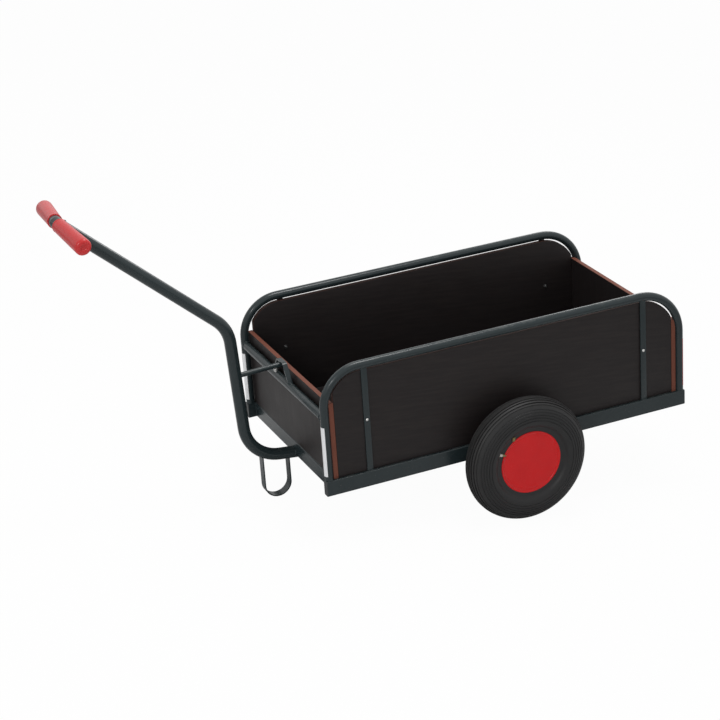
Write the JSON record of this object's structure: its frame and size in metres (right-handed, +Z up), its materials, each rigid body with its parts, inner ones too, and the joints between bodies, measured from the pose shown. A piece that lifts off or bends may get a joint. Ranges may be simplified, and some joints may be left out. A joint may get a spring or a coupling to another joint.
{
  "type": "two-wheeled hand cart",
  "caption": "Hand cart with a plywood box in a tubular steel frame, two pneumatic wheels on one axle, a bent drawbar with a swept T-handle and a strap stand.",
  "frame": {"origin": "on the floor below the centre of the whole cart's bounding box, parked on wheels and stand", "axes": "+X to the rear, the drawbar points to -X; +Y to the cart's right-hand side as it is pulled; +Z up. The box is pitched nose-down by 6.7 degrees as it parks"},
  "size_m": [2.0122, 0.91, 0.9874],
  "materials": {
    "frame": "gloss anthracite powder coat on steel tube",
    "plywood": "dark brown film-faced plywood with red-brown sealed edges",
    "tyre": "ribbed pneumatic tyre, dark grey rubber",
    "rim": "red painted steel rim",
    "hub_cap": "glossy red cover",
    "grip": "soft red rubber grips",
    "axle_steel": "zinc plated steel",
    "plug": "dark plastic end plugs",
    "reflector_white": "white reflective strip",
    "reflector_red": "red reflective strip"
  },
  "bodies": {
    "cart": {"left_side_rail": "frame", "right_side_rail": "frame", "front_cross_rail": "frame", "rear_cross_rail": "frame", "deck_cross_members": "frame", "left_side_hoop": "frame", "right_side_hoop": "frame", "left_uprights": "frame", "right_uprights": "frame", "front_crossbar": "frame", "rear_crossbar": "frame", "drawbar": "frame", "handle_bar": "frame", "brace_bracket": "frame", "brace_rod": "frame", "stand_strap": "frame", "left_axle_saddle": "frame", "right_axle_saddle": "frame", "left_side_wall": "plywood", "right_side_wall": "plywood", "front_wall": "plywood", "rear_wall": "plywood", "deck_board": "plywood", "left_grip": "grip", "right_grip": "grip", "axle": "axle_steel", "rail_end_caps": "plug", "front_reflectors": "reflector_white", "rear_reflectors": "reflector_red"},
    "left_wheel": {"left_tyre": "tyre", "left_rim": "rim", "left_hub_cap": "hub_cap"},
    "right_wheel": {"right_tyre": "tyre", "right_rim": "rim", "right_hub_cap": "hub_cap"}
  },
  "joints": [
    {"name": "left_wheel_spin", "type": "hinge", "parent": "cart", "child": "left_wheel", "pos_m": [0.39432, -0.405, 0.203], "axis": [0, 1, 0], "continuous": true},
    {"name": "right_wheel_spin", "type": "hinge", "parent": "cart", "child": "right_wheel", "pos_m": [0.39432, 0.405, 0.203], "axis": [0, 1, 0], "continuous": true}
  ]
}
